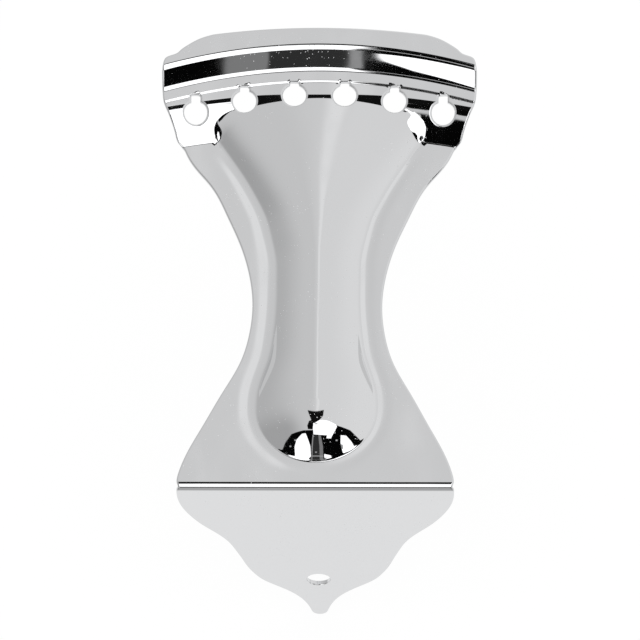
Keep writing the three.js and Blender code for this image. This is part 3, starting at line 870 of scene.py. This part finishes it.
# %% [markdown]
# ## A helper for node trees
#
# The chrome, the studio and the paper are all painted with a few kinds of nodes, so one small class adds
# them and joins them up.


# %% Painter
CHROME_COLOUR = (0.83, 0.835, 0.845, 1)


def strength(level):
    """How bright a card is, given the grey level of 0 to 255 that the chrome shows it with."""
    return (level / 255) ** 2.2 / CHROME_COLOUR[1]


print("a card of middle grey has a strength of", round(strength(128), 3))


class Painter:
    """Adds nodes to a node tree and joins them up."""

    def __init__(self, tree):
        self.nodes, self.links = tree.nodes, tree.links

    def put(self, socket, value):
        """Joins a socket to another one, or sets its value."""
        if isinstance(value, bpy.types.NodeSocket):
            self.links.new(value, socket)
        else:
            socket.default_value = value

    def maths(self, operation, *values):
        """The result of one sum, such as ADD or MINIMUM."""
        node = self.nodes.new("ShaderNodeMath")
        node.operation = operation
        for socket, value in zip(node.inputs, values):
            self.put(socket, value)
        return node.outputs[0]

    def dot(self, vector, fixed):
        """Dot product with a fixed vector."""
        node = self.nodes.new("ShaderNodeVectorMath")
        node.operation = "DOT_PRODUCT"
        self.put(node.inputs[0], vector)
        node.inputs[1].default_value = fixed
        return node.outputs["Value"]

    def ramp(self, value, low, high, from_value=0.0, to_value=1.0):
        """Goes smoothly from from_value to to_value while value goes from low to high."""
        node = self.nodes.new("ShaderNodeMapRange")
        node.interpolation_type = "SMOOTHSTEP"
        for socket, number in zip(node.inputs[:5], (value, low, high, from_value, to_value)):
            self.put(socket, number)
        return node.outputs[0]

    def stretched(self, place, scale):
        """Coordinates multiplied by a scale for each axis."""
        node = self.nodes.new("ShaderNodeVectorMath")
        node.operation = "MULTIPLY"
        self.put(node.inputs[0], place)
        node.inputs[1].default_value = scale
        return node.outputs[0]

    def noise(self, place, detail):
        """Smooth noise around 0.5, with as many finer layers as detail says."""
        node = self.nodes.new("ShaderNodeTexNoise")
        self.put(node.inputs["Vector"], place)
        node.inputs["Scale"].default_value = 1.0
        node.inputs["Detail"].default_value = detail
        return node.outputs[0]

    def bump(self, height, distance, normal=None):
        """The surface's direction, tilted as if it rose by distance where height is 1."""
        node = self.nodes.new("ShaderNodeBump")
        self.put(node.inputs["Height"], height)
        node.inputs["Distance"].default_value = distance
        if normal is not None:
            self.put(node.inputs["Normal"], normal)
        return node.outputs[0]

    def over(self, below, above, mask):
        """The value above where the mask is 1, and the value below where it is 0."""
        node = self.nodes.new("ShaderNodeMix")
        for socket, value in zip((node.inputs[0], node.inputs[2], node.inputs[3]), (mask, below, above)):
            self.put(socket, value)
        return node.outputs[0]

    def card(self, below, spot, corners, level, soft=0.004):
        """Lays a convex card over what is below; spot holds (u, v, 1) of the direction."""
        corners = np.array(corners, float)
        nearest = None
        for here, there in zip(corners, np.roll(corners, -1, axis=0)):
            side = np.array([here[1] - there[1], there[0] - here[0]]) / np.linalg.norm(there - here)
            side *= np.sign(side @ (corners.mean(0) - here))
            distance = self.dot(spot, (*side, -side @ here))
            nearest = distance if nearest is None else self.maths("MINIMUM", nearest, distance)
        return self.over(below, strength(level), self.ramp(nearest, -soft, soft))


# %% [markdown]
# ## Chrome plate
#
# Chrome is a metal mirror of a faintly cool grey. Real plating isn't a perfect mirror, and four things show
# it. The sheet keeps very shallow waves from the press and the buffing wheel, which bend reflections a
# little. Finer grooves run along the buffing. Wiping leaves cloudy patches that are a little rougher. And
# dust settles in drifts, as tiny pale specks that only show where the chrome mirrors something black.
#
# All four are procedural, on Object coordinates. Those are metres here, so each pattern is given by how many
# of its patches fit in a metre along each axis.


# %% Chrome material
WAVES_PER_METRE = (70, 45, 70)
WAVE_HEIGHT = 0.00005
GROOVES_PER_METRE = (900, 60, 900)
GROOVE_HEIGHT = 0.00000025
CLOUDS_PER_METRE = (160, 90, 160)
DRIFTS_PER_METRE = (110, 110, 110)
SPECKS_PER_METRE = (1000, 1000, 1000)
SPECK_SCALE = 1.25
SPECK_METALLIC = 0.68
SPECK_ROUGHNESS = 0.5


def chrome_material():
    """Chrome plate with waves, buffing grooves, wiping clouds and drifts of dust."""
    material = bpy.data.materials.new("chrome_plate")
    material.use_nodes = True
    paint = Painter(material.node_tree)
    shader = paint.nodes["Principled BSDF"]
    shader.inputs["Base Color"].default_value = CHROME_COLOUR
    place = paint.nodes.new("ShaderNodeTexCoord").outputs["Object"]
    waves = paint.noise(paint.stretched(place, WAVES_PER_METRE), 1)
    grooves = paint.noise(paint.stretched(place, GROOVES_PER_METRE), 2)
    bump = paint.bump(waves, WAVE_HEIGHT)
    bump = paint.bump(grooves, GROOVE_HEIGHT, bump)
    paint.put(shader.inputs["Normal"], bump)

    clouds = paint.noise(paint.stretched(place, CLOUDS_PER_METRE), 4)
    roughness = paint.ramp(clouds, 0.4, 0.75, 0.02, 0.075)
    drifts = paint.noise(paint.stretched(place, DRIFTS_PER_METRE), 2)
    cells = paint.nodes.new("ShaderNodeTexVoronoi")
    paint.put(cells.inputs["Vector"], paint.stretched(place, SPECKS_PER_METRE))
    cells.inputs["Scale"].default_value = SPECK_SCALE
    size = paint.ramp(drifts, 0.44, 0.7, 0.035, 0.15)
    speck = paint.maths("LESS_THAN", cells.outputs["Distance"], size)
    paint.put(shader.inputs["Metallic"], paint.over(1.0, SPECK_METALLIC, speck))
    paint.put(shader.inputs["Roughness"], paint.over(roughness, SPECK_ROUGHNESS, speck))
    return material


chrome = chrome_material()
tailpiece.data.materials.append(chrome)
print("chrome of", len(chrome.node_tree.nodes), "nodes")

# %% [markdown]
# ## Studio
#
# A mirror shows the room, so here the room is most of the work. Chrome is photographed in a tent: pale grey
# cloth all round, two white light boxes in front, black cards beside them that draw the dark lines, and one
# small black patch overhead where the cloth has its opening. All of it is far away, so it can be painted on
# the sky by direction alone. The camera itself sees plain white.
#
# The painting is flat: a direction (x, y, z) is drawn at (x, y) / (1 + z), which keeps the zenith in the
# middle and the horizon on a circle of radius 1, with the guitar's neck end up and the camera's side down.
# A card is a convex patch on that flat picture, given by its corners. Its mask is the smallest of the
# distances to its sides, turned into 0 or 1 with a soft edge. Cards are laid one over the other.


# %% [markdown]
# ## The sky's cards
#
# The left light box stands in a dark surround, and a grey stand with a pale rim hides the gap between the
# two boxes. The cloth itself is a little brighter on the right than on the left, and it darkens low on the
# left.
#
# The tailpiece's flat part mirrors only one small spot of this sky. Where that spot would be white or black
# to a viewer straight above or behind, a small grey plate hangs there, so that the sheet isn't lost. The
# photograph's angle hardly sees them.

# %% Cards
PLATE_REACH = 0.018


def grey_plate(azimuth, elevation):
    """Corners of a small square card at the spot that the flat plate mirrors to one viewer.

    A level mirror shows a viewer the sky on the opposite side at the same elevation. On the flat picture
    that is the tangent of half the angle from the zenith, away from the middle.
    """
    turn = math.radians(azimuth)
    out = math.tan(math.radians(90 - elevation) / 2)
    u, v = -math.sin(turn) * out, math.cos(turn) * out
    signs = ((-1, -1), (1, -1), (1, 1), (-1, 1))
    return tuple((u + aside * PLATE_REACH, v + along * PLATE_REACH) for aside, along in signs)


# Each card has its corners and the grey level that the chrome shows it with. Over 255 is brighter than white
CARDS = (
    # Seam of the cloth overhead
    (((-0.0065, 0.15), (-0.0065, 0.6), (0.006, 0.6), (0.006, 0.15)), 216),
    # Black cloth on both sides
    (
        ((-0.04, -0.148), (-0.2, -0.163), (-0.45, -0.245), (-0.62, -0.42), (-0.75, -0.62), (-0.54, -0.85),
         (0, -1.0), (0.03, -0.27)), 12,
    ),
    (
        ((0.31, -0.05), (0.6, -0.12), (0.88, -0.32), (0.98, -0.46), (0.85, -0.72), (0.5, -1.0), (0, -1.0),
         (0.13, -0.32)), 12,
    ),
    # White over the stand
    (
        ((-0.04, -0.01), (-0.03, 0.03), (0.04, 0.07), (0.15, 0.04), (0.31, -0.04), (0.34, -0.08), (0.3, -0.3),
         (0.15, -0.285), (-0.04, -0.262)), 285,
    ),
    (((0.2, -0.2), (0.3, -0.2), (0.29, -0.37), (0.2, -0.37)), 285),
    # The stand: dark surround, pale rim, grey side and dark front, and a second rim low down
    (((-0.06, -0.262), (0.14, -0.284), (0.18, -0.4), (0.2, -1.0), (-0.15, -1.0)), 14),
    (((-0.055, -0.27), (0.04, -0.27), (0.09, -1.0), (-0.12, -1.0), (-0.091, -0.6)), 140),
    (((0.03, -0.272), (0.082, -0.276), (0.151, -0.6), (0.18, -1.0), (0.06, -1.0)), 118),
    (((-0.038, -0.272), (0.041, -0.272), (0.076, -0.6), (0.09, -1.0), (-0.1, -1.0)), 48),
    (((-0.1, -0.86), (0.17, -0.86), (0.17, -0.885), (-0.1, -0.885)), 150),
    # Light boxes and a small reflector
    (
        ((-0.24, -0.25), (-0.112, -0.225), (-0.12, -0.6), (-0.1, -0.73), (-0.11, -0.865), (-0.21, -0.96),
         (-0.5, -0.88), (-0.46, -0.58), (-0.38, -0.4)), 285,
    ),
    (
        ((0.46, -0.27), (0.56, -0.26), (0.68, -0.36), (0.78, -0.48), (0.75, -0.615), (0.66, -0.72),
         (0.6, -0.72), (0.5, -0.46)), 285,
    ),
    (((0.19, -0.81), (0.35, -0.83), (0.36, -0.88), (0.2, -0.91)), 285),
    # The right box's frame
    (((0.508, -0.49), (0.552, -0.49), (0.582, -0.6), (0.548, -0.6)), 150),
    # Small grey plates, for viewers straight above and behind
    (grey_plate(0, 90), 196),
    (grey_plate(180, 15), 150),
    (grey_plate(135, 30), 165),
    (grey_plate(225, 30), 165),
    (grey_plate(135, 15), 150),
    # The opening overhead, and the black band that runs from it to the left
    (((-0.034, 0.08), (-0.034, -0.03), (-0.05, -0.13), (-0.12, -0.13), (-0.12, -0.05), (-0.08, 0.05)), 16),
    (((-0.067, 0.19), (0.055, 0.19), (0.062, 0.13), (0.035, 0.07), (-0.02, 0.012), (-0.046, 0.012)), 22),
)
print(len(CARDS), "cards")

# %% [markdown]
# ## The sky
#
# The cloth's grey goes softly from left to right, and the cards lie over it. Only the chrome sees all this:
# for every other ray the sky is plain white.

# %% World
CLOTH_LEFT = 191
CLOTH_RIGHT = 206
CLOTH_FAR_RIGHT = 212
CLOTH_FAR_LEFT = 172
CLOTH_LOW_LEFT = 156


def studio_world():
    """The painted sky, which mirrors see, in front of plain white, which everything else sees."""
    world = bpy.data.worlds.new("studio")
    world.use_nodes = True
    paint = Painter(world.node_tree)
    direction = paint.nodes.new("ShaderNodeTexCoord").outputs["Generated"]
    parts = paint.nodes.new("ShaderNodeSeparateXYZ")
    paint.put(parts.inputs[0], direction)
    lift = paint.maths("MAXIMUM", paint.maths("ADD", parts.outputs[2], 1.0), 0.02)
    flat = paint.nodes.new("ShaderNodeCombineXYZ")
    u = paint.maths("DIVIDE", parts.outputs[0], lift)
    v = paint.maths("DIVIDE", parts.outputs[1], lift)
    for socket, value in zip(flat.inputs, (u, v, 1.0)):
        paint.put(socket, value)
    spot = flat.outputs[0]

    cloth = paint.over(strength(CLOTH_LEFT), strength(CLOTH_RIGHT), paint.ramp(u, -0.04, 0.02))
    cloth = paint.over(cloth, strength(CLOTH_FAR_RIGHT), paint.ramp(u, 0.1, 0.7))
    left_cloth = paint.over(cloth, strength(CLOTH_FAR_LEFT), paint.ramp(u, -0.12, -0.8))
    low_left = paint.maths("MULTIPLY", paint.ramp(u, -0.06, -0.55), paint.ramp(v, 0.34, -0.1))
    sky = paint.over(left_cloth, strength(CLOTH_LOW_LEFT), low_left)

    for corners, level in CARDS:
        sky = paint.card(sky, spot, corners, level)

    path = paint.nodes.new("ShaderNodeLightPath")
    sky = paint.over(1.0, sky, path.outputs["Is Glossy Ray"])
    background = paint.nodes["Background"]
    paint.put(background.inputs["Color"], sky)
    return world


bpy.context.scene.world = studio_world()
bpy.context.scene.view_settings.view_transform = "Standard"
print("sky of", len(bpy.context.scene.world.node_tree.nodes), "nodes")

# %% [markdown]
# ## Floor
#
# The tailpiece stands over a white sheet of paper. The camera sees the paper nearly white, with a trace of
# the shadow under the plate. The chrome sees it as a bright field from below, with painted light on it: a
# glow that is brightest under the tailpiece and falls off towards the camera's side and to both sides.


# %% Floor
FLOOR_GAP = 0.5
FLOOR_REACH = 9000.0
PAPER_GREY = 0.9
PAPER_OWN_LIGHT = 0.9
PAPER_WHITE = 1.02
PAPER_PAINTED_LIGHT_CAMERA_SIDE = 0.36
PAPER_PAINTED_LIGHT_UNDER_PIECE = 0.86
PAPER_PAINTED_LIGHT_ASIDE = 0.68


def paper_material():
    """White paper that takes a soft shadow, with a painted pool of light that the chrome mirrors: darker
    towards the camera's side and aside.
    """
    material = bpy.data.materials.new("paper")
    material.use_nodes = True
    paint = Painter(material.node_tree)
    paint.nodes.remove(paint.nodes["Principled BSDF"])
    path = paint.nodes.new("ShaderNodeLightPath")
    seen = paint.maths("MAXIMUM", path.outputs["Is Camera Ray"], path.outputs["Is Glossy Ray"])
    seen = paint.maths("MAXIMUM", seen, path.outputs["Is Transmission Ray"])
    lit = paint.nodes.new("ShaderNodeBsdfDiffuse")
    lit.inputs["Color"].default_value = (PAPER_GREY, PAPER_GREY, PAPER_GREY, 1)
    white = paint.nodes.new("ShaderNodeEmission")
    parts = paint.nodes.new("ShaderNodeSeparateXYZ")
    paint.put(parts.inputs[0], paint.nodes.new("ShaderNodeTexCoord").outputs["Object"])
    # Painted light: as the chrome sees it, the paper glows brightest under the tailpiece and less towards the
    # camera's side and aside
    mirrored = paint.ramp(parts.outputs[1], -0.085, -0.03, PAPER_PAINTED_LIGHT_CAMERA_SIDE, PAPER_PAINTED_LIGHT_UNDER_PIECE)
    aside = paint.maths("ABSOLUTE", parts.outputs[0])
    mirrored = paint.maths("MULTIPLY", mirrored, paint.ramp(aside, 0.045, 0.12, 1.0, PAPER_PAINTED_LIGHT_ASIDE))
    paint.put(white.inputs["Strength"], paint.over(mirrored, PAPER_WHITE, path.outputs["Is Camera Ray"]))
    mixed = paint.nodes.new("ShaderNodeMixShader")
    paint.put(mixed.inputs[0], paint.maths("MULTIPLY", seen, PAPER_OWN_LIGHT))
    paint.put(mixed.inputs[1], lit.outputs[0])
    paint.put(mixed.inputs[2], white.outputs[0])
    paint.put(paint.nodes["Material Output"].inputs["Surface"], mixed.outputs[0])
    return material


floor_z = (plate_low[2] - FLOOR_GAP) / 1000
reach = FLOOR_REACH / 1000
floor_mesh = bpy.data.meshes.new("floor")
corners = [(aside * reach, along * reach, floor_z) for aside, along in ((-1, -1), (1, -1), (1, 1), (-1, 1))]
floor_mesh.from_pydata(corners, [], [(0, 1, 2, 3)])
floor_mesh.materials.append(paper_material())
floor = bpy.data.objects.new("floor", floor_mesh)
bpy.context.scene.collection.objects.link(floor)
print("floor", FLOOR_GAP, "mm under the flange's tip")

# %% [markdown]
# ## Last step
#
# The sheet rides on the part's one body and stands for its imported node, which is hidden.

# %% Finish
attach(tailpiece, "root")
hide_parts("tailpiece_plate")
